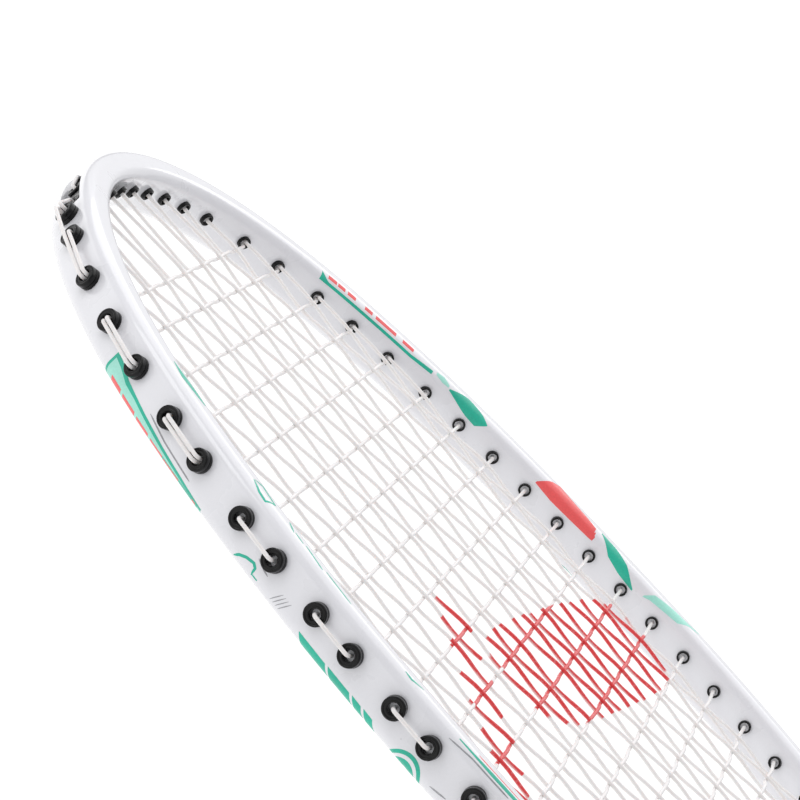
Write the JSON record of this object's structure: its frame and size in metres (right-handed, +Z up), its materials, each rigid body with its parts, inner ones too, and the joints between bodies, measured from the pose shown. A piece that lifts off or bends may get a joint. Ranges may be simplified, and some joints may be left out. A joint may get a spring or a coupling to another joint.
{
  "type": "badminton racket",
  "caption": "Strung badminton racket with an oval carbon head, separate string grommets, a slim round shaft and an octagonal handle with a wrapped grip.",
  "frame": {"origin": "centre of the butt cap's end face, on the shaft's axis", "axes": "+Y along the shaft from the butt to the tip of the head; +Z up, square to the string bed, as the racket lies on a table; +X to the right, across the head"},
  "size_m": [0.2049, 0.675, 0.028],
  "materials": {
    "frame_lacquer": "glossy white lacquer over carbon, with mint and coral transfers",
    "shaft_lacquer": "glossy white lacquer",
    "joint_plastic": "moulded, dark",
    "fastener_steel": "plain",
    "cone_plastic": "satin white",
    "handle_wood": "plain light wood",
    "cap_plastic": "moulded, fine texture",
    "disc_plastic": "glossy mint with a plain ring",
    "backing_foam": "closed-cell foam",
    "grip_skin": "soft coated grip, embossed and perforated",
    "tape_film": "satin tape",
    "grommet_nylon": "satin black nylon",
    "string_nylon": "braided off-white, with a red printed mark"
  },
  "bodies": {
    "root": {"head_frame": "frame_lacquer", "throat_collar": "frame_lacquer", "t_joint": "joint_plastic", "shaft": "shaft_lacquer", "shaft_pin": "fastener_steel", "cone_cap": "cone_plastic", "handle_core": "handle_wood", "butt_cap": "cap_plastic", "butt_disc": "disc_plastic", "butt_cap_tacks": "fastener_steel", "grip_backing": "backing_foam", "grip_wrap": "grip_skin", "finishing_tape": "tape_film", "left_grommets": "grommet_nylon", "right_grommets": "grommet_nylon", "tip_grommet_strip": "grommet_nylon", "throat_grommets": "grommet_nylon", "main_string": "string_nylon", "cross_string": "string_nylon", "string_knots": "string_nylon"}
  },
  "joints": []
}
